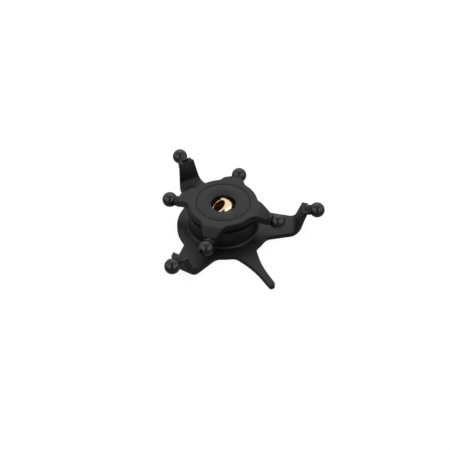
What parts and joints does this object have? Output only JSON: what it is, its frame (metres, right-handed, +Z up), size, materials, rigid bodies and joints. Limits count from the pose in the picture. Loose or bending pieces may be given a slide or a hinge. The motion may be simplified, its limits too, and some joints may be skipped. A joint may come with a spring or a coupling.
{
  "type": "helicopter swashplate",
  "caption": "Model helicopter swashplate: bearing-mounted rotating upper plate with ball-ended link arms over a lower plate with upturned servo arms, guide finger and brass mast ball.",
  "frame": {"origin": "centre of the mast ball, on the mast axis", "axes": "+Z up the mast through the rotating plate, +Y along the fore servo arm, the guide finger along -Y"},
  "size_m": [0.0514, 0.0577, 0.0102],
  "materials": {
    "moulded_plastic": "fine satin mould texture",
    "seat_plastic": "smooth, self-lubricating",
    "ball_plastic": "polished, faint mould seam",
    "brass": "turned and polished",
    "bearing_steel": "ground",
    "shield_steel": "pressed sheet",
    "cage_plastic": "plain",
    "spring_steel": "phosphate black"
  },
  "bodies": {
    "stationary": {"lower_plate": "moulded_plastic", "servo_ball_fore": "ball_plastic", "servo_ball_left": "ball_plastic", "servo_ball_right": "ball_plastic", "bearing_outer_race": "bearing_steel", "bearing_upper_shield": "shield_steel", "bearing_lower_shield": "shield_steel", "bearing_snap_ring": "spring_steel"},
    "rotor": {"upper_plate": "moulded_plastic", "seat_cap": "moulded_plastic", "link_ball_1": "ball_plastic", "link_ball_2": "ball_plastic", "link_ball_3": "ball_plastic", "link_ball_4": "ball_plastic", "bearing_inner_race": "bearing_steel", "sleeve_circlip": "spring_steel"},
    "ball_set": {"bearing_cage": "cage_plastic", "bearing_balls": "bearing_steel"},
    "seat": {"ball_seat_upper": "seat_plastic", "ball_seat_lower": "seat_plastic"},
    "mast_ball": {"uniball": "brass"}
  },
  "joints": [
    {"name": "rotor_spin", "type": "hinge", "parent": "stationary", "child": "rotor", "pos_m": [0, 0, 0], "axis": [0, 0, 1], "continuous": true},
    {"name": "cage_spin", "type": "hinge", "parent": "stationary", "child": "ball_set", "pos_m": [0, 0, -0.00235], "axis": [0, 0, 1], "continuous": true},
    {"name": "seat_turn", "type": "hinge", "parent": "rotor", "child": "seat", "pos_m": [0, 0, 0], "axis": [0, 0, 1], "continuous": true},
    {"name": "ball_tilt", "type": "hinge", "parent": "seat", "child": "mast_ball", "pos_m": [0, 0, 0], "axis": [-0.4384, -0.8988, 0], "range_deg": [-62, 0]}
  ],
  "couplings": [
    {"joint": "cage_spin", "follows": "rotor_spin", "ratio": 0.44707}
  ]
}
